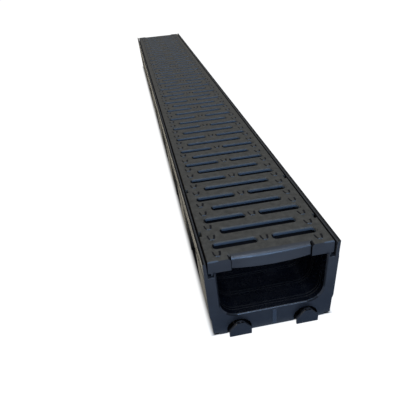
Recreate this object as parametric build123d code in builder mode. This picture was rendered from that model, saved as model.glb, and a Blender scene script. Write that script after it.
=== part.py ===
"""Linear surface-water channel, one metre module: a moulded trough with its slotted grating."""
import os

from build123d import *

os.makedirs("parts", exist_ok=True)

# Overall sizes of the trough (mm). X across, Y along the run, Z up from the base plane.
length = 1000.0          # end face to end face
width = 112.0            # over the two rims
base_width = 103.0       # across the foot of the end flanges
height = 77.0            # base plane to the top of the rims
rim = 3.0                # thickness of a rim
band = 20.0              # height of the smooth band along the top of each side

# The water-way
wall = 2.4               # trough wall
sill = 19.4              # inside floor above the base plane
bore_top = 45.5          # half width of the water-way at the seat
bore_low = 43.5          # half width of the water-way where the round corner starts
corner = 14.0            # inside corner radius

# The seat of the grating, counted down from the top of the rims
seat_depth = 11.8        # top of the rims to the seat
groove_depth = 3.0       # gutter beside the seat
seat_width = 2.0         # ridge the grating rests on
ledge = 2.6              # thickness of the ledge under the gutter
rim_step = 1.0           # small step along the inner top corner of each rim

# Ribs, flanges and side boxes
bays = 8                 # bays between the two end flanges
flange = 2.6             # end flange thickness
rib = 3.0                # thickness of the ribs between the bays
box_length = 42.0        # length of the closed part of each bay
box_wall = 2.5
box_proud = 0.9          # how far its side stands out beyond the ribs
box_bend = 21.0          # height from which its side leans in
box_lean = 3.6           # how far in the side leans at its lower edge
box_foot = 7.0           # height of its lower edge
box_round = 12.0         # round of its lower corner
foot_step = 2.2          # the outer foot of each end flange stands this much higher
foot_step_width = 5.5

# Coupling lugs at the front end and the slots that take them at the other end
lug_x = 29.2             # lug centre from the middle plane
lug_head = 19.4          # head, greatest width
lug_foot = 19.0          # head, width at the base plane
lug_shoulder = 6.4       # head, height of its upright sides
lug_plate = 2.5          # head thickness
lug_neck = 9.0           # neck width
lug_neck_height = 9.0
lug_play = 0.3           # play along the run once coupled
lug_side_play = 1.5      # play beside the neck
arch_margin = 0.7        # how much wider the front arches are than the heads
keel = 3.0               # webs under the floor, in line with the lugs

# Grating
setback = 2.0            # grating end face behind the flange face
grate_top = 51.0         # half width at the top
grate_foot = 50.2        # half width at the seat
grate_drop = 0.6         # top of the grating below the top of the rims
plate = 5.0              # top plate
rows = 51                # slot rows, the outer rows are split ones
first_row = 22.0         # first row centre behind the flange face
slot = 6.6               # slot width
slot_corner = 2.0        # cut-off corners of the slots
split_in = 6.4           # split row: inner end of a slot from the middle plane
split_out = 43.4         # split row: outer end
long_half = 33.0         # long row: half length
web = 1.8                # webs either side of a slot row
web_lift = 1.2           # underside of the webs above the seat
rail = 5.0               # side rails over the seat
end_block = 12.0         # depth of the end blocks along the run
lip_half = 33.0          # half width of the bowed lip between the end blocks
lip_back = 3.5           # lip behind the flange face at its two ends
lip_bow = 3.2            # how far its middle comes forward
lip_lift = 2.6           # underside of the lip above the seat
leg = 2.1                # legs that hang into the gutter
leg_height = 2.4
clip_length = 7.0        # notches for the clips, in the long edges
clip_depth = 1.8

# Derived sizes
half_run = length / 2
seat = height - seat_depth
gutter = seat - groove_depth
floor_under = sill - wall
slope = (width - base_width) / 2 / height
bay = length / bays
lug_reach = flange + lug_play + lug_plate
lug_height = floor_under - 1.7
arch_half = lug_head / 2 + arch_margin
arch_height = lug_height - 1.9
pitch = (length - 2 * first_row) / (rows - 1)
grate_level = height - grate_drop
grate_thick = grate_level - seat


def side(z):
    """Half width of the flanges and rims at height z."""
    return base_width / 2 + slope * z


def both(*points):
    """The outline given for the right, and its mirror image on the left."""
    return [points, [(-x, z) for x, z in points]]


def across(y):
    """Plane across the run at y, its own X to the right and its own Y up."""
    return Plane.XZ.offset(-y)


bore = [(-bore_top, seat + 5), (-bore_top, seat), (-bore_low, sill), (bore_low, sill),
        (bore_top, seat), (bore_top, seat + 5)]

with BuildPart() as channel_body:
    # End flanges and ribs, full plates to begin with
    plate_outline = [(-side(0), 0), (side(0), 0), (side(gutter), gutter), (-side(gutter), gutter)]
    stations = [(-half_run, flange)]
    stations += [(-half_run + i * bay - rib / 2, rib) for i in range(1, bays)]
    stations += [(half_run - flange, flange)]
    for y, thick in stations:
        with BuildSketch(across(y)):
            with BuildLine():
                Polyline(*plate_outline, close=True)
            make_face()
        extrude(amount=-thick)

    # Trough shell, outside
    with BuildSketch(across(-half_run)) as shell_outline:
        with BuildLine():
            Polyline((-bore_top - wall, gutter - ledge), (-bore_low - wall, floor_under),
                     (bore_low + wall, floor_under), (bore_top + wall, gutter - ledge), close=True)
        make_face()
        fillet(shell_outline.vertices().group_by(Axis.Y)[0], corner + wall)
    extrude(amount=-length)

    # Ledge, seat ridge and rim on both sides
    low = height - band
    with BuildSketch(across(-half_run)):
        for outline in both((side(height), height), (side(low), low), (side(low) - rim, low),
                            (side(gutter - ledge) - rim, gutter - ledge), (bore_low, gutter - ledge),
                            (bore_top, seat), (bore_top + seat_width, seat), (bore_top + seat_width, gutter),
                            (side(gutter) - rim, gutter), (side(height - rim_step) - rim, height - rim_step),
                            (side(height) - rim + rim_step, height - rim_step),
                            (side(height) - rim + rim_step, height)):
            with BuildLine():
                Polyline(*outline, close=True)
            make_face()
    extrude(amount=-length)

    # Side boxes: the closed part of every bay, a little proud of the ribs and leaning in at the foot
    box_side = [(side(box_foot) + box_proud - box_lean, box_foot), (side(box_bend) + box_proud, box_bend),
                (side(gutter) + box_proud / 2, gutter)]
    for i in range(bays):
        y = -half_run + i * bay
        with BuildSketch(across(y)):
            for outline in both(*box_side, *[(x - box_wall, z) for x, z in reversed(box_side)]):
                with BuildLine():
                    Polyline(*outline, close=True)
                make_face()
        extrude(amount=-box_length)
        with BuildSketch(across(y + box_length - box_wall)):
            for outline in both(*box_side, (bore_low, gutter), (bore_low, box_foot)):
                with BuildLine():
                    Polyline(*outline, close=True)
                make_face()
        extrude(amount=-box_wall)
        for hand in (-1, 1):
            with BuildSketch(Plane.YZ.offset(hand * (bore_low + wall + 0.2))):
                with Locations((y + box_length - box_round, box_foot + box_round)):
                    Rectangle(box_round + 1, box_round + 1, align=(Align.MIN, Align.MAX))
                    Circle(box_round, mode=Mode.SUBTRACT)
            extrude(amount=hand * 15, mode=Mode.SUBTRACT)

    # Keel webs under the floor; they stop short of the far end to leave room for the lug heads
    keel_end = half_run - flange - lug_play - lug_plate - 4
    keel_run = keel_end + half_run
    with BuildSketch(Plane.XY):
        with Locations((-lug_x, -half_run + keel_run / 2), (lug_x, -half_run + keel_run / 2)):
            Rectangle(keel, keel_run)
    extrude(amount=floor_under + wall / 2)

    # Water-way
    with BuildSketch(across(-half_run - 1)) as bore_outline:
        with BuildLine():
            Polyline(*bore, close=True)
        make_face()
        fillet(bore_outline.vertices().group_by(Axis.Y)[0], corner)
    extrude(amount=-length - 2, mode=Mode.SUBTRACT)

    # Softened mouth of the front flange
    mouth = channel_body.edges().filter_by_position(Axis.Y, -half_run - 0.01, -half_run + 0.01)
    mouth = mouth.filter_by(lambda e: e.center().Z > sill - 0.1 and e.center().Z < gutter - ledge
                            and abs(e.center().X) < bore_top and e.bounding_box().max.Z < seat + 0.1)
    chamfer(mouth, 1.4)

    # Arches through the front flange, and slots for the necks through the far flange
    lug_places = [(-lug_x, 0), (lug_x, 0)]
    arch = [(-arch_half, -1), (-arch_half, arch_height * 0.42), (-arch_half + 1.4, arch_height * 0.68),
            (-arch_half + 5.0, arch_height * 0.92), (-arch_half + 8.2, arch_height),
            (arch_half - 8.2, arch_height), (arch_half - 5.0, arch_height * 0.92),
            (arch_half - 1.4, arch_height * 0.68), (arch_half, arch_height * 0.42), (arch_half, -1)]
    with BuildSketch(across(-half_run - 1)):
        for place in lug_places:
            with BuildLine():
                Polyline(*[(place[0] + x, z) for x, z in arch], close=True)
            make_face()
    extrude(amount=-flange - 1, mode=Mode.SUBTRACT)
    with BuildSketch(across(half_run - flange)):
        with Locations(*lug_places):
            Rectangle(lug_neck + 2 * lug_side_play, 2 * lug_neck_height + 2 * lug_side_play)
    extrude(amount=-flange - 1, mode=Mode.SUBTRACT)

    # Raised foot at the outer corners of both end flanges
    with BuildSketch(Plane.XY):
        for y in (-half_run, half_run - flange):
            for hand in (-1, 1):
                with Locations((hand * (side(0) - foot_step_width / 2 + 0.5), y + flange / 2)):
                    Rectangle(foot_step_width + 1, flange + 1)
    extrude(amount=foot_step, mode=Mode.SUBTRACT)

    # Coupling lugs: necks out of the keels, then the heads
    with BuildSketch(across(-half_run - flange - lug_play - 0.5)):
        with Locations(*lug_places):
            Rectangle(lug_neck, lug_neck_height, align=(Align.CENTER, Align.MIN))
    extrude(amount=-(2 * flange + lug_play + 8))
    head = [(-lug_foot / 2, 0), (-lug_head / 2, lug_shoulder), (-3.2, lug_height - 1.2), (-1.4, lug_height),
            (1.4, lug_height), (3.2, lug_height - 1.2), (lug_head / 2, lug_shoulder), (lug_foot / 2, 0)]
    with BuildSketch(across(-half_run - lug_reach)):
        for place in lug_places:
            with BuildLine():
                Polyline(*[(place[0] + x, z) for x, z in head], close=True)
            make_face()
    extrude(amount=-lug_plate)

    # Small upright bar in the middle of the sill
    with BuildSketch(across(-half_run - 0.8)):
        with Locations((0, 2)):
            Rectangle(1.6, sill - 4, align=(Align.CENTER, Align.MIN))
    extrude(amount=-flange / 2)

channel_body.part.label = "channel_body"
export_step(channel_body.part, "parts/channel_body.step")

with BuildPart() as grating:
    end = half_run - setback
    # Top plate
    with BuildSketch(Plane.XY.offset(grate_level - plate)):
        Rectangle(2 * grate_top, 2 * end)
    extrude(amount=plate)

    # Side rails over the seat
    rail_in = bore_top - (rail - seat_width) / 2
    with BuildSketch(across(-end)):
        for outline in both((rail_in, seat), (grate_foot, seat), (grate_top, grate_level - plate / 2),
                            (rail_in, grate_level - plate / 2)):
            with BuildLine():
                Polyline(*outline, close=True)
            make_face()
    extrude(amount=-2 * end)

    # Webs either side of every slot row
    row_y = [-half_run + first_row + i * pitch for i in range(rows)]
    with BuildSketch(Plane.XY.offset(seat + web_lift)):
        for y in row_y:
            for hand in (-1, 1):
                with Locations((0, y + hand * (slot + web) / 2)):
                    Rectangle(2 * rail_in + 1, web)
    extrude(amount=grate_thick - plate / 2 - web_lift)

    # End blocks at the four corners, and the plain front between them cut back
    with BuildSketch(Plane.XY.offset(seat)):
        for y in (-end + end_block / 2, end - end_block / 2):
            for hand in (-1, 1):
                with Locations((hand * (lip_half + grate_foot) / 2, y)):
                    Rectangle(grate_foot - lip_half, end_block)
    extrude(amount=grate_thick - plate / 2)
    with BuildSketch(Plane.XY.offset(seat)):
        for hand in (-1, 1):
            with Locations((0, hand * (half_run - lip_back / 2 + 0.5))):
                Rectangle(2 * lip_half, lip_back + 1)
    extrude(amount=grate_thick + 1, mode=Mode.SUBTRACT)

    # Bowed lips between the end blocks
    with BuildSketch(Plane.XY.offset(seat + lip_lift)):
        for hand in (-1, 1):
            with BuildLine():
                front = hand * (half_run - lip_back)
                back = hand * (half_run - lip_back - 3)
                ThreePointArc((-lip_half, front), (0, front + hand * lip_bow), (lip_half, front))
                Polyline((lip_half, front), (lip_half, back), (-lip_half, back), (-lip_half, front))
            make_face()
    extrude(amount=grate_thick - lip_lift)
    lips = grating.edges().group_by(Axis.Z)[-1].filter_by(GeomType.CIRCLE)
    fillet(lips, 2.6)

    # Slots
    with BuildSketch(Plane.XY.offset(seat)) as slots:
        for i, y in enumerate(row_y):
            if i % 2:
                with Locations((0, y)):
                    Rectangle(2 * long_half, slot)
            else:
                reach = (split_in + split_out) / 2
                with Locations((-reach, y), (reach, y)):
                    Rectangle(split_out - split_in, slot)
        chamfer(slots.vertices(), slot_corner)
    extrude(amount=grate_thick + 1, mode=Mode.SUBTRACT)

    # Legs in the gutter under the end blocks
    with BuildSketch(Plane.XY.offset(seat - leg_height)):
        for y in (-end + end_block / 2, end - end_block / 2):
            for hand in (-1, 1):
                with Locations((hand * (grate_foot - 0.4 - leg / 2), y)):
                    Rectangle(leg, end_block)
    extrude(amount=leg_height + 1)

    # Clip notches in the long edges, level with the first and third long rows from each end
    with BuildSketch(Plane.XY.offset(seat - 1)):
        for i in (1, 5, rows - 6, rows - 2):
            for hand in (-1, 1):
                with Locations((hand * (grate_top - clip_depth / 2 + 0.5), row_y[i])):
                    Rectangle(clip_depth + 1, clip_length)
    extrude(amount=grate_thick + 2, mode=Mode.SUBTRACT)

grating.part.label = "grating"
export_step(grating.part, "parts/grating.step")
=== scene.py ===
import math

import bmesh
import bpy
from mathutils import Matrix, Vector


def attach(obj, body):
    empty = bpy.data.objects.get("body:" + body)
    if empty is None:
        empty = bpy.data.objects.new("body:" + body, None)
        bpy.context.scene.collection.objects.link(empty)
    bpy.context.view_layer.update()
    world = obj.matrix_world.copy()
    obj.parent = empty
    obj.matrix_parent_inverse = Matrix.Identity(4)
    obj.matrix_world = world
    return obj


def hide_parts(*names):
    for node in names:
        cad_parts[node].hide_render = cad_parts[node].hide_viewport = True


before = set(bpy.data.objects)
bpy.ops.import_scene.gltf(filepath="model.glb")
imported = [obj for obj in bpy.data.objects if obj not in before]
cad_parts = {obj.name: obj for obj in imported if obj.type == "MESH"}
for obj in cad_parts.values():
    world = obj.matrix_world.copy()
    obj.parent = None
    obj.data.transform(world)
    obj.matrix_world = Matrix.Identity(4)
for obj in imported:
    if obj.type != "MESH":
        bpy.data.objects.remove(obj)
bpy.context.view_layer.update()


# Trough
# One black plastic moulding: a U-shaped water-way with seats, rims, end flanges, ribs and
# closed side boxes. Its edges are slightly rounded, those of the mouth and the lug heads more.
def figure(tree, operation, *terms):
    """One sum in a material, on sockets or plain numbers."""
    node = tree.nodes.new("ShaderNodeMath")
    node.operation = operation
    for socket, term in zip(node.inputs, terms):
        if isinstance(term, float):
            socket.default_value = term
        else:
            tree.links.new(term, socket)
    return node.outputs["Value"]


def rescaled(tree, value, low, high, to_low=0.0, to_high=1.0):
    """A value that runs from low to high, turned into one that runs from to_low to to_high."""
    node = tree.nodes.new("ShaderNodeMapRange")
    tree.links.new(value, node.inputs["Value"])
    ends = {"From Min": low, "From Max": high, "To Min": to_low, "To Max": to_high}
    for socket, end in ends.items():
        node.inputs[socket].default_value = end
    return node.outputs["Result"]


def ramp(tree, factor, *stops):
    """A colour that changes with the factor through two or more (position, colour) stops."""
    node = tree.nodes.new("ShaderNodeValToRGB")
    tree.links.new(factor, node.inputs["Fac"])
    elements = node.color_ramp.elements
    for k, (position, colour) in enumerate(stops[:2]):
        elements[k].position = position
        elements[k].color = (*colour, 1.0)
    for position, colour in stops[2:]:
        elements.new(position).color = (*colour, 1.0)
    return node.outputs["Color"]


def mixed_colour(tree, share, one, other):
    """One colour where share is 0 and the other where it is 1, each a socket or plain numbers."""
    mix = tree.nodes.new("ShaderNodeMix")
    mix.data_type = "RGBA"
    tree.links.new(share, mix.inputs["Factor"])
    for socket, colour in ((mix.inputs[6], one), (mix.inputs[7], other)):
        if isinstance(colour, tuple):
            socket.default_value = (*colour, 1.0)
        else:
            tree.links.new(colour, socket)
    return mix.outputs[2]


def moulded_black(name, deep, pale, gloss, grain, specular=0.5, patches=26.0):
    """Moulded black plastic: cloudy colour, a fine spark-eroded grain and rubbed, dull patches."""
    material = bpy.data.materials.new(name)
    material.use_nodes = True
    tree = material.node_tree
    place = tree.nodes.new("ShaderNodeTexCoord").outputs["Object"]
    clouds = []
    for scale, detail, roughness in ((patches, 6.0, 0.78), (90.0, 6.0, 0.7), (1500.0, 2.0, 0.5)):
        cloud = tree.nodes.new("ShaderNodeTexNoise")
        cloud.inputs["Scale"].default_value = scale
        cloud.inputs["Detail"].default_value = detail
        cloud.inputs["Roughness"].default_value = roughness
        tree.links.new(place, cloud.inputs["Vector"])
        clouds.append(cloud.outputs["Fac"])
    tint, rub, sparks = clouds
    relief = tree.nodes.new("ShaderNodeBump")
    relief.inputs["Strength"].default_value = grain
    relief.inputs["Distance"].default_value = 0.0002
    tree.links.new(sparks, relief.inputs["Height"])
    shader = tree.nodes["Principled BSDF"]
    shader.inputs["IOR"].default_value = 1.5
    shader.inputs["Specular IOR Level"].default_value = specular
    tree.links.new(ramp(tree, tint, (0.34, deep), (0.68, pale)), shader.inputs["Base Color"])
    tree.links.new(rescaled(tree, rub, 0.3, 0.7, *gloss), shader.inputs["Roughness"])
    tree.links.new(relief.outputs["Normal"], shader.inputs["Normal"])
    return material


def painted_highlight_line(material, away, half, colour):
    """Adds a painted highlight: a thin line of another colour along the run, as far away on the
    left as on the right.
    """
    tree = material.node_tree
    place = tree.nodes.new("ShaderNodeTexCoord")
    split = tree.nodes.new("ShaderNodeSeparateXYZ")
    tree.links.new(place.outputs["Object"], split.inputs["Vector"])
    on_line = figure(tree, "COMPARE", figure(tree, "ABSOLUTE", split.outputs["X"]), away, half)
    base = tree.nodes["Principled BSDF"].inputs["Base Color"]
    tree.links.new(mixed_colour(tree, on_line, base.links[0].from_socket, colour), base)


def round_edges(bm, edges, offset, segments):
    """Rounds those of the edges that no earlier rounding has taken up."""
    bmesh.ops.bevel(bm, geom=[e for e in edges if e.is_valid], offset=offset, offset_type="OFFSET",
                    affect="EDGES", segments=segments, profile=0.5, material=-1)


def moulding(name, bm, finishes, slot, *nodes):
    """Turns a finished bmesh into a smooth-shaded piece that rides on the part."""
    bmesh.ops.recalc_face_normals(bm, faces=bm.faces)
    mesh = bpy.data.meshes.new(name)
    bm.to_mesh(mesh)
    bm.free()
    mesh.shade_smooth()
    mesh.set_sharp_from_angle(angle=math.radians(38))
    for plastic in finishes:
        mesh.materials.append(plastic)
    piece = bpy.data.objects.new(name, mesh)
    bpy.context.scene.collection.objects.link(piece)
    flats = piece.modifiers.new("flat_faces", "WEIGHTED_NORMAL")
    flats.keep_sharp = True
    flats.weight = 90
    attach(piece, "root")
    if nodes:
        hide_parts(*nodes)


half_run, hair = 0.500, 1e-5
trough_plastic = moulded_black("trough_plastic", (0.009, 0.010, 0.013), (0.015, 0.017, 0.021),
                               (0.30, 0.44), 0.10)
# The inside of the water-way is painted near black: painted shade for its depth.
bore_painted_shade = moulded_black("bore_painted_shade", (0.001, 0.0015, 0.003), (0.003, 0.004, 0.007),
                             (0.20, 0.32), 0.0)
# The outer band is smoother than the rest. Its paler, warm colour is a painted reflection of the
# floor beside the channel.
band_painted_sheen = moulded_black("band_painted_sheen", (0.022, 0.021, 0.017), (0.032, 0.030, 0.025),
                             (0.08, 0.14), 0.0, 0.9)
side_plastic = moulded_black("side_plastic", (0.005, 0.005, 0.003), (0.008, 0.008, 0.005),
                             (0.64, 0.78), 0.06)
# A dull, darker copy of the trough plastic, painted shade: on the rib fronts, in the recesses
# behind the lug heads and on the flow lines.
dull_painted_shade = moulded_black("dull_painted_shade", (0.005, 0.005, 0.006), (0.009, 0.009, 0.010),
                            (0.35, 0.50), 0.04, 0.16)
# The bar on the sill is painted a paler blue: a painted highlight along it.
bar_painted_highlight = moulded_black("bar_painted_highlight", (0.020, 0.026, 0.036), (0.028, 0.036, 0.048),
                            (0.30, 0.44), 0.06)
# The rim tops are painted near black, as painted shade, with a painted highlight line along each.
crest_shade_and_highlight = moulded_black("crest_shade_and_highlight", (0.002, 0.002, 0.002), (0.004, 0.004, 0.004),
                              (0.40, 0.55), 0.04, 0.06)
painted_highlight_line(crest_shade_and_highlight, 0.0537, 0.0005, (0.046, 0.045, 0.042))

bm = bmesh.new()
bm.from_mesh(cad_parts["channel_body"].data)
bmesh.ops.remove_doubles(bm, verts=bm.verts, dist=0.00002)
bmesh.ops.dissolve_limit(bm, angle_limit=math.radians(0.6), verts=bm.verts, edges=bm.edges)

# The bar on the sill is wider than in the solid and stands a little to the right
flange_face, bar_half, bar_foot, bar_head = 0.4999, 0.00085, 0.0015, 0.018
bar_aside, bar_widening = 0.0014, 2.2
for v in bm.verts:
    if abs(v.co.x) < bar_half and v.co.y < -flange_face and bar_foot < v.co.z < bar_head:
        v.co.x = bar_aside + v.co.x * bar_widening

mouth_half, mouth_low, mouth_high, lug_face = 0.046, 0.0185, 0.060, 0.505
mouth_round, head_round, edge_round = 0.0022, 0.0010, 0.0004
shortest, bluntest = 0.0022, math.radians(50)
crisp = [e for e in bm.edges if len(e.link_faces) == 2 and e.calc_length() > shortest
         and e.calc_face_angle_signed(0.0) > bluntest]
heads = [e for e in crisp if all(v.co.y < -lug_face for v in e.verts)]
mouth = [e for e in crisp if all(abs(v.co.y) > flange_face and abs(v.co.x) < mouth_half
                                 and mouth_low < v.co.z < mouth_high for v in e.verts)]
crisp = [e for e in crisp if e not in mouth and e not in heads]
round_edges(bm, mouth, mouth_round, 5)
round_edges(bm, heads, head_round, 3)
round_edges(bm, crisp, edge_round, 2)

rim_low, bore_half, bore_low, bore_high = 0.0755, 0.0456, 0.019, 0.066
recess_in, recess_out, recess_high, recess_back = 0.0185, 0.0405, 0.022, 0.48
band_out, band_foot, rib_root, rib_end = 0.0545, 0.0625, 0.0520, 0.49
trough_finishes = (trough_plastic, bore_painted_shade, band_painted_sheen, side_plastic, dull_painted_shade,
                   bar_painted_highlight, crest_shade_and_highlight)
for face in bm.faces:
    x, y, z = face.calc_center_median()
    x = abs(x)
    finish = trough_plastic
    # Rim tops: painted shade with a painted highlight line.
    if z > rim_low and face.normal.z > 0.95:
        finish = crest_shade_and_highlight
    # The recesses behind the lug heads: painted shade.
    elif recess_in < x < recess_out and z < recess_high and -flange_face < y < -recess_back:
        finish = dull_painted_shade
    # Inside the water-way: painted shade.
    elif abs(face.normal.y) < 0.5 and x < bore_half and bore_low < z < bore_high:
        finish = bore_painted_shade
    # The outer band: smoother plastic with a painted reflection in its colour.
    elif abs(face.normal.x) > 0.9 and x > band_out and z > band_foot:
        finish = band_painted_sheen
    # The side boxes take the rough side plastic, and the rib fronts between them painted shade.
    elif x > rib_root and z < band_foot and abs(y) < rib_end:
        finish = side_plastic if abs(face.normal.y) < 0.5 else dull_painted_shade
    # The bar on the sill: painted highlight.
    elif y < -flange_face - 0.0002 and x < 0.004 and z > bar_foot:
        finish = bar_painted_highlight
    face.material_index = trough_finishes.index(finish)
moulding("trough", bm, trough_finishes, "channel_body", "channel_body")


# Flow lines
# Faint U-shaped ridges in the black plastic of the water-way, left by the mould near the lug end,
# mostly in pairs. They are part of the trough and stand only 0.15 mm high.
def drawn_out(bm, faces):
    """Extrudes a region with its edges and corners, so that no old face is left inside."""
    edges = dict.fromkeys(e for f in faces for e in f.edges)
    corners = dict.fromkeys(v for f in faces for v in f.verts)
    made = bmesh.ops.extrude_face_region(bm, geom=[*faces, *edges, *corners])["geom"]
    return [f for f in made if isinstance(f, bmesh.types.BMFace)]


def extrude_through(bm, rings):
    """Makes a closed solid of an outline that is extruded from each ring of points to the next."""
    cap = bm.faces.new([bm.verts.new(point) for point in rings[0]])
    for here, there in zip(rings, rings[1:]):
        cap = drawn_out(bm, [cap])[0]
        for v in cap.verts:
            corner = min(range(len(here)), key=lambda k: (v.co - Vector(here[k])).length)
            v.co = there[corner]


wall_foot, wall_head, ridge_head = 0.0435, 0.0455, 0.058
floor_top, floor_round = 0.0194, 0.0140
ridge_height, ridge_half, ridge_sunk = 0.00015, 0.0005, 0.25
path = [(-wall_head + (wall_head - wall_foot) * k / 4,
         ridge_head - (ridge_head - floor_top - floor_round) * k / 4) for k in range(4)]
path += [(floor_round * (1 - math.cos(turn)) - wall_foot,
          floor_top + floor_round * (1 - math.sin(turn)))
         for turn in (math.radians(9 * k) for k in range(11))]
path += [(-x, z) for x, z in reversed(path)]
bm = bmesh.new()
for y in (-0.4940, -0.4912, -0.4755, -0.4728, -0.4535, -0.4512, -0.4310):
    rings = []
    for k, (x, z) in enumerate(path):
        ahead = Vector(path[min(k + 1, len(path) - 1)]) - Vector(path[max(k - 1, 0)])
        rise = Vector((-ahead.y, ahead.x)).normalized() * ridge_height
        sunk = (x - rise.x * ridge_sunk, z - rise.y * ridge_sunk)
        rings.append([(sunk[0], y - ridge_half, sunk[1]), (x + rise.x, y, z + rise.y),
                      (sunk[0], y + ridge_half, sunk[1])])
    extrude_through(bm, rings)
# The flow lines take the dull plastic with painted shade, a little paler than the painted shade of
# the water-way around them.
moulding("flow_lines", bm, (dull_painted_shade,), "channel_body")


# Grating
# A black plastic moulding that drops in between the rims and rests on the seats. Rows of one long
# slot alternate with rows of two short ones, over webs, side rails and end blocks with short legs.
top, under, seat = 0.0764, 0.0735, 0.0652
web_foot, leg_foot = seat + 0.0012, seat - 0.0024
grate_end, grate_half, rail_in = 0.498, 0.0515, 0.0456
rows, first_row, slot_half, web_in, web_out = 51, 0.022, 0.0033, 0.0052, 0.0067
split_in, split_out, long_half = 0.0064, 0.0434, 0.0330
lip_half, lip_root, block_in = 0.0330, 0.492, 0.486
leg_in, clip_in = 0.0477, 0.0493
row_y = [-half_run + first_row + i * (2 * half_run - 2 * first_row) / (rows - 1)
         for i in range(rows)]
clip_rows = (row_y[1], row_y[5], row_y[rows - 6], row_y[rows - 2])


def nearest_row(y):
    """The number of the row of slots that lies nearest to y."""
    return min(range(rows), key=lambda i: abs(row_y[i] - y))


def is_web(y):
    """Whether a strip at y belongs to the webs on either side of a row."""
    return web_in < abs(y - row_y[nearest_row(y)]) < web_out


def cut_across(bm, along, values):
    """Splits every face along planes square to one axis."""
    square = Vector((1, 0, 0)) if along == "x" else Vector((0, 1, 0))
    for value in values:
        bmesh.ops.bisect_plane(bm, geom=bm.verts[:] + bm.edges[:] + bm.faces[:], dist=1e-7,
                               plane_co=square * value, plane_no=square)


def let_down(bm, faces, z):
    """Extrudes a region of underside faces down to height z."""
    lowered = drawn_out(bm, faces)
    for face in lowered:
        for v in face.verts:
            v.co.z = z
    return lowered


def aside(face):
    """How far a face lies to the left or right of the middle."""
    return abs(face.calc_center_median().x)


def in_block(face):
    """Whether a face belongs to one of the four end blocks."""
    return aside(face) > lip_half and abs(face.calc_center_median().y) > block_in


sheet = Matrix.Translation((0, 0, top)) @ Matrix.Diagonal((grate_half, grate_end, 1, 1))
bm = bmesh.new()
bmesh.ops.create_grid(bm, x_segments=1, y_segments=1, size=1.0, matrix=sheet)
cut_across(bm, "x", [side * x for side in (-1, 1)
                     for x in (split_in, long_half, split_out, rail_in, leg_in, clip_in)])
cut_across(bm, "y", [y + side * away for y in row_y for side in (-1, 1)
                     for away in (slot_half, web_in, web_out)])
cut_across(bm, "y", [end * y for end in (-1, 1) for y in (lip_root, block_in)])
open_faces = []
for face in bm.faces:
    x, y, _ = face.calc_center_median()
    row = nearest_row(y)
    slotted = abs(x) < long_half if row % 2 else split_in < abs(x) < split_out
    clipped = abs(x) > clip_in and min(abs(y - c) for c in clip_rows) < slot_half
    lipped = abs(y) > lip_root and abs(x) < lip_half
    if abs(y - row_y[row]) < slot_half and slotted or clipped or lipped:
        open_faces.append(face)
bmesh.ops.delete(bm, geom=open_faces, context="FACES")
let_down(bm, bm.faces[:], under)
bmesh.ops.recalc_face_normals(bm, faces=bm.faces)

# The slots get round ends and a broad round along their far edges, the outside a narrow one
corner_round, far_round, shoulder_round, outer_round = 0.0029, 0.0016, 0.0028, 0.0009
corners = [e for e in bm.edges if len(e.link_faces) == 2 and e.calc_face_angle(0.0) > 1.0
           and abs(e.verts[0].co.z - e.verts[1].co.z) > 0.002
           and abs(e.verts[0].co.x) < rail_in and abs(e.verts[0].co.y) < lip_root - 0.001]
bmesh.ops.bevel(bm, geom=corners, offset=corner_round, offset_type="OFFSET", affect="EDGES",
                segments=5, profile=0.5, material=-1)
on_top = [e for e in bm.edges if all(v.co.z > top - hair for v in e.verts)]
rims = [e for e in on_top if len(e.link_faces) == 2 and e.calc_face_angle(0.0) > 1.0
        and not all(abs(v.co.x) < lip_half + hair and abs(v.co.y) > lip_root - 1e-4
                    for v in e.verts)]
shoulders = [e for e in on_top if all(abs(abs(v.co.x) - lip_half) < hair
                                      and abs(v.co.y) > lip_root - 1e-4 for v in e.verts)]
outer = [e for e in rims if any(abs(v.co.x) > clip_in - hair or abs(v.co.y) > lip_root - 1e-4
                                for v in e.verts)]
slot_edges = [e for e in rims if e not in outer]
round_edges(bm, shoulders, shoulder_round, 4)
round_edges(bm, outer, outer_round, 2)
round_edges(bm, slot_edges, far_round, 4)

# Round the near edge of each slot less than the far one, and set it nearer to the lug end
near_share, near_shift = 0.32, 0.0014
for v in bm.verts:
    row = nearest_row(v.co.y)
    mid, reach = 0.0, long_half
    if row % 2 == 0:
        mid, reach = math.copysign((split_in + split_out) / 2, v.co.x), (split_out - split_in) / 2
    dx, dy = v.co.x - mid, v.co.y - row_y[row]
    hub = Vector((max(corner_round - reach, min(reach - corner_round, dx)),
                  max(corner_round - slot_half, min(slot_half - corner_round, dy))))
    arm = Vector((dx, dy)) - hub
    out = arm.length - corner_round
    if (-hair < out < far_round + hair and abs(v.co.y) < lip_root - 0.001
            and abs(v.co.x) < rail_in - hair):
        nearness = max(0.0, min(1.0, 0.5 - arm.y / arm.length))
        nearness *= nearness * (3 - 2 * nearness)
        share = 1 + (near_share - 1) * nearness
        if v.co.z > top - far_round - 1e-6:
            flat = hub + arm * (corner_round + out * share) / arm.length
            v.co = (mid + flat.x, row_y[row] + flat.y, top - (top - v.co.z) * share)
        v.co.y -= near_shift * nearness

# Webs, rails, end blocks and legs are drawn down from the underside of the sheet
underside = [f for f in bm.faces
             if abs(f.normal.z) > 0.9 and f.calc_center_median().z < under + hair]
stiffened = [f for f in underside
             if aside(f) > rail_in or in_block(f) or is_web(f.calc_center_median().y)]
lowered = let_down(bm, stiffened, web_foot)
lowered = let_down(bm, [f for f in lowered if aside(f) > rail_in or in_block(f)], seat)
let_down(bm, [f for f in lowered if leg_in < aside(f) < clip_in and in_block(f)], leg_foot)

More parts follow.
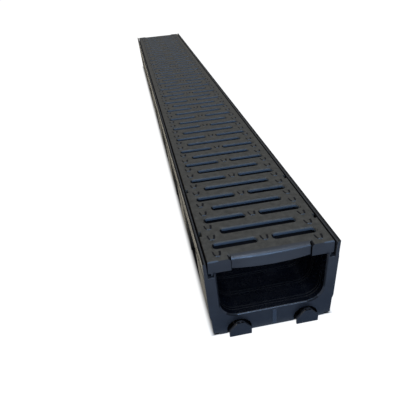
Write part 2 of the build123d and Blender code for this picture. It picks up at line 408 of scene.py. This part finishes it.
# Hooded lips across both ends: a broad round from the top down to a front that bows out at its foot
lip_reach, lip_front, lip_bow, lip_under, lip_drop = 0.0323, 0.4965, 0.0032, 0.0656, 0.0034
foot_round, bow_power = 0.0004, 1.2
grate_faces = set(bm.faces)
hood = [(lip_root + (lip_front - lip_root) * math.sin(turn), top - lip_drop * (1 - math.cos(turn)))
        for turn in (math.radians(9 * k) for k in range(11))]
hood += [(lip_front, lip_under + foot_round), (lip_front - foot_round, lip_under),
         (lip_root, lip_under)]
for end in (-1, 1):
    rings = []
    for i in range(15):
        x = lip_reach * (i / 7 - 1)
        bow = lip_bow * (1 - (x / lip_reach) ** 2)
        rings.append([(end * x, end * (y + bow * ((top - z) / (top - lip_under)) ** bow_power
                                       * (y > lip_root)), z) for y, z in hood])
    extrude_through(bm, rings)

grate_plastic = moulded_black("grate_plastic", (0.009, 0.008, 0.005), (0.043, 0.039, 0.031),
                              (0.50, 0.64), 0.30, patches=170.0)
# A near black, dull copy of the plastic for painted shade: deep in the slots, on the slot ends
# facing right, beside the lips and on the grip marks' arms.
shade_plastic = moulded_black("shade_plastic", (0.003, 0.003, 0.004), (0.005, 0.005, 0.006),
                              (0.55, 0.70), 0.02, 0.12)
# A paler, bluer copy of the plastic for painted light: on the slot walls and end faces lit from the
# front, and as a painted glint on the grip marks' fronts.
wall_painted_light = moulded_black("wall_painted_light", (0.030, 0.042, 0.056), (0.042, 0.056, 0.074),
                             (0.45, 0.60), 0.08)
grate_finishes = (grate_plastic, shade_plastic, trough_plastic, wall_painted_light)
shoulder_out = 0.0362
for face in bm.faces:
    x, y, z = face.calc_center_median()
    x, y, normal = abs(x), abs(y), face.normal
    slotted = x < rail_in and y < block_in
    finish = grate_plastic
    if face not in grate_faces:
        finish = trough_plastic if y > lip_root + hair else grate_plastic
    # Painted shade deep in the slots and on the slot ends that face right, away from the warm
    # light.
    elif slotted and (z < under + hair or normal.z < 0.8 and normal.x > 0.45):
        finish = shade_plastic
    # Painted shade in the corners where the end blocks meet the lips.
    elif (lip_reach < x < shoulder_out and y > lip_root - 1e-4
          and (abs(normal.x) > 0.3 or y < lip_root + 1e-4)):
        finish = shade_plastic
    elif y > lip_root + hair and normal.z < 0.25:
        finish = trough_plastic
    # End faces and slot walls that face the front: painted light.
    elif y > grate_end - 0.001 and normal.z < 0.95 or slotted and normal.z < 0.5:
        finish = wall_painted_light
    face.material_index = grate_finishes.index(finish)
moulding("grate", bm, grate_finishes, "grating", "grating")


# Grip marks
# Small raised tongues moulded on top of the grating for grip: in pairs beside each long slot, one
# in the bridge of each split row and one in each corner. Each rises towards the lug end to a U.
mark_half, mark_length, mark_height, mark_bow = 0.0037, 0.0080, 0.00057, 0.0066
mark_edge, right_arm, left_arm = 0.0006, 2.6, 1.4
mark_x, mark_end, mark_sunk = 0.0420, 0.0108, 0.00002


def mark_rise(y):
    """The height of a tongue's edge at y, from nothing at its far end."""
    return mark_height * max(0.0, 0.5 - y / mark_length) ** 0.7


outline = [(mark_half, mark_length / 2)]
outline += [(mark_half * math.cos(turn), -mark_length / 2 + mark_bow * (1 - math.sin(turn)))
            for turn in (math.pi * k / 10 for k in range(11))]
outline.append((-mark_half, mark_length / 2))
bm = bmesh.new()
foot = [bm.verts.new((x, y, 0)) for x, y in outline]
brim = []
for x, y in outline:
    inward = Vector((-x, min(0.0, -y - mark_length / 2 + mark_bow), 0)).normalized()
    inward *= mark_edge * (1 + (right_arm if x > 0 else left_arm) * abs(x) / mark_half)
    brim.append(bm.verts.new((x + inward.x, y + inward.y, mark_rise(y))))
spine = [bm.verts.new((0, y, mark_rise(y) * 0.5))
         for y in (mark_length / 2, mark_length / 5, -mark_length / 2 + 0.0022)]
mark_finishes = (grate_plastic, shade_plastic, wall_painted_light)
# The tongues' side walls carry painted shade, widest on the right arm, and their front wall a
# painted glint in the paler plastic.
for i in range(12):
    # The last wall is taken from its next corner, so that it splits as the first one does
    corners = [foot[i], foot[i + 1], brim[i + 1], brim[i]]
    wall = bm.faces.new(corners if i < 11 else corners[1:] + corners[:1])
    at_side = abs(foot[i].co.x + foot[i + 1].co.x) > mark_half
    wall.material_index = mark_finishes.index(shade_plastic if at_side else wall_painted_light)
    if 1 <= i <= 10:
        bm.faces.new((brim[i], brim[i + 1], spine[2]))
bm.faces.new((brim[0], brim[1], *reversed(spine)))
bm.faces.new((brim[11], brim[12], *spine))
bm.faces.new((*foot, brim[12], spine[0], brim[0]))
tongue = bpy.data.meshes.new("tongue")
bm.to_mesh(tongue)
bm.free()

beside = (row_y[1] - row_y[0]) * 0.4
spots = [(0, y) for y in row_y[0::2]]
spots += [(side * mark_x, y + away) for y in row_y[1::2]
          for side in (-1, 1) for away in (-beside, beside)]
spots += [(side * mark_x, end * (half_run - mark_end)) for side in (-1, 1) for end in (-1, 1)]
bm = bmesh.new()
for x, y in spots:
    start = len(bm.verts)
    bm.from_mesh(tongue)
    bm.verts.ensure_lookup_table()
    bmesh.ops.translate(bm, verts=bm.verts[start:], vec=(x, y, top - mark_sunk))
bpy.data.meshes.remove(tongue)
moulding("grip_marks", bm, mark_finishes, "grating")


# Studio
# A plain floor that shows white and takes a soft shadow, with painted shadow under the channel.
# One soft light stands above and in front, a cooler one further in front, a weak warm one on the
# left.
def mixed(tree, share, one, other):
    """One shader where share is 0 and the other where it is 1."""
    mix = tree.nodes.new("ShaderNodeMixShader")
    for socket, source in zip(mix.inputs, (share, one, other)):
        tree.links.new(source, socket)
    return mix.outputs["Shader"]


def clear_of(tree, spot, x_near, x_far, y_near, y_far):
    """0 on an oblong under the channel, 1 clear of it."""
    across = rescaled(tree, figure(tree, "ABSOLUTE", spot.outputs["X"]), x_near, x_far)
    along = rescaled(tree, figure(tree, "ABSOLUTE", spot.outputs["Y"]), y_near, y_far)
    return figure(tree, "MAXIMUM", across, along)


floor_mesh = bpy.data.meshes.new("floor")
bm = bmesh.new()
bmesh.ops.create_grid(bm, x_segments=1, y_segments=1, size=6.0)
bm.to_mesh(floor_mesh)
bm.free()
floor = bpy.data.objects.new("floor", floor_mesh)
bpy.context.scene.collection.objects.link(floor)
floor_paint = bpy.data.materials.new("floor_paint")
floor_paint.use_nodes = True
tree = floor_paint.node_tree
tree.nodes.clear()
ray = tree.nodes.new("ShaderNodeLightPath")
place = tree.nodes.new("ShaderNodeTexCoord")
spot = tree.nodes.new("ShaderNodeSeparateXYZ")
tree.links.new(place.outputs["Object"], spot.inputs["Vector"])

# White to the camera, matt to light, with painted shadow where the channel stands
clear = clear_of(tree, spot, 0.0505, 0.0550, 0.499, 0.5005)
matt = tree.nodes.new("ShaderNodeBsdfDiffuse")
white_with_painted_shadow = mixed_colour(tree, clear, (0.01, 0.01, 0.012), (0.86, 0.86, 0.85))
tree.links.new(white_with_painted_shadow, matt.inputs["Color"])
glow = tree.nodes.new("ShaderNodeEmission")
glow.inputs["Strength"].default_value = 1.12
seen = figure(tree, "MULTIPLY", ray.outputs["Is Camera Ray"], figure(tree, "MULTIPLY", clear, 0.85))
shown = mixed(tree, seen, matt.outputs["BSDF"], glow.outputs["Emission"])

# For glossy rays only the floor glows, a painted reflection: warm beside the channel and cool in
# front of it
fore = rescaled(tree, spot.outputs["Y"], -0.44, -0.64)
sheen = ramp(tree, fore, (0.0, (0.96, 0.89, 0.73)), (0.30, (0.068, 0.107, 0.185)),
             (1.0, (0.325, 0.38, 0.49)))
mirrored = tree.nodes.new("ShaderNodeEmission")
mirrored.inputs["Strength"].default_value = 1.9
tree.links.new(sheen, mirrored.inputs["Color"])
gloss = figure(tree, "MULTIPLY", ray.outputs["Is Glossy Ray"],
               clear_of(tree, spot, 0.055, 0.061, 0.500, 0.505))
output = tree.nodes.new("ShaderNodeOutputMaterial")
tree.links.new(mixed(tree, gloss, shown, mirrored.outputs["Emission"]), output.inputs["Surface"])
floor_mesh.materials.append(floor_paint)

# The sky is white to the camera and lights the part with a warm grey that turns cool overhead
world = bpy.data.worlds.new("studio")
bpy.context.scene.world = world
world.use_nodes = True
tree = world.node_tree
place = tree.nodes.new("ShaderNodeTexCoord")
height = tree.nodes.new("ShaderNodeSeparateXYZ")
tree.links.new(place.outputs["Generated"], height.inputs["Vector"])
air = tree.nodes["Background"]
sky = ramp(tree, height.outputs["Z"], (0.12, (0.30, 0.30, 0.31)), (0.6, (0.53, 0.50, 0.44)),
           (0.78, (0.84, 0.90, 0.98)), (1.0, (0.84, 0.92, 1.0)))
tree.links.new(sky, air.inputs["Color"])
white = tree.nodes.new("ShaderNodeBackground")
white.inputs["Color"].default_value = (1, 1, 1, 1)
ray = tree.nodes.new("ShaderNodeLightPath")
tree.links.new(mixed(tree, ray.outputs["Is Camera Ray"], air.outputs["Background"],
                     white.outputs["Background"]), tree.nodes["World Output"].inputs["Surface"])


def softbox(name, place, aim, size, watts, colour):
    """A square soft light at place, turned to face aim."""
    lamp = bpy.data.lights.new(name, "AREA")
    lamp.shape = "SQUARE"
    lamp.size = size
    lamp.energy = watts
    lamp.color = colour
    holder = bpy.data.objects.new(name, lamp)
    facing = (Vector(aim) - Vector(place)).to_track_quat("-Z", "Y").to_matrix().to_4x4()
    holder.matrix_world = Matrix.Translation(place) @ facing
    bpy.context.scene.collection.objects.link(holder)


softbox("window", (0.1, -1.3, 2.0), (0, -0.4, 0), 0.6, 14, (0.66, 0.78, 1.0))
softbox("side", (-1.6, -0.5, 0.9), (0, -0.3, 0.05), 0.5, 5, (1.0, 0.88, 0.72))
softbox("front", (0.25, -2.5, 1.25), (0, -0.4, 0), 0.9, 38, (0.34, 0.58, 1.0))


# Camera
# It stands where the photograph was taken from: in front of the lug end, above the channel and a
# little to its left, looking along it and down. It is rolled slightly, and its frame is square.
pixels, focal, centre = 400.0, 441.46, (206.03, 195.96)
swing, dip, roll = math.radians(8.14), math.radians(29.87), math.radians(-4.78)
stand = (-0.08585, -0.76191, 0.28794)
ahead = Vector((math.sin(swing) * math.cos(dip), math.cos(swing) * math.cos(dip), -math.sin(dip)))
level = ahead.cross(Vector((0, 0, 1))).normalized()
upward = level.cross(ahead)
right = level * math.cos(roll) + upward * math.sin(roll)
up = upward * math.cos(roll) - level * math.sin(roll)
camera = bpy.data.cameras.new("camera")
camera.sensor_width = 36.0
camera.lens = focal / pixels * camera.sensor_width
camera.shift_x = -(centre[0] - pixels / 2) / pixels
camera.shift_y = (centre[1] - pixels / 2) / pixels
camera.clip_start = 0.01
viewer = bpy.data.objects.new("camera", camera)
viewer.matrix_world = Matrix.Translation(stand) @ Matrix((right, up, -ahead)).transposed().to_4x4()
bpy.context.scene.collection.objects.link(viewer)
bpy.context.scene.camera = viewer
bpy.context.scene.view_settings.view_transform = "Standard"
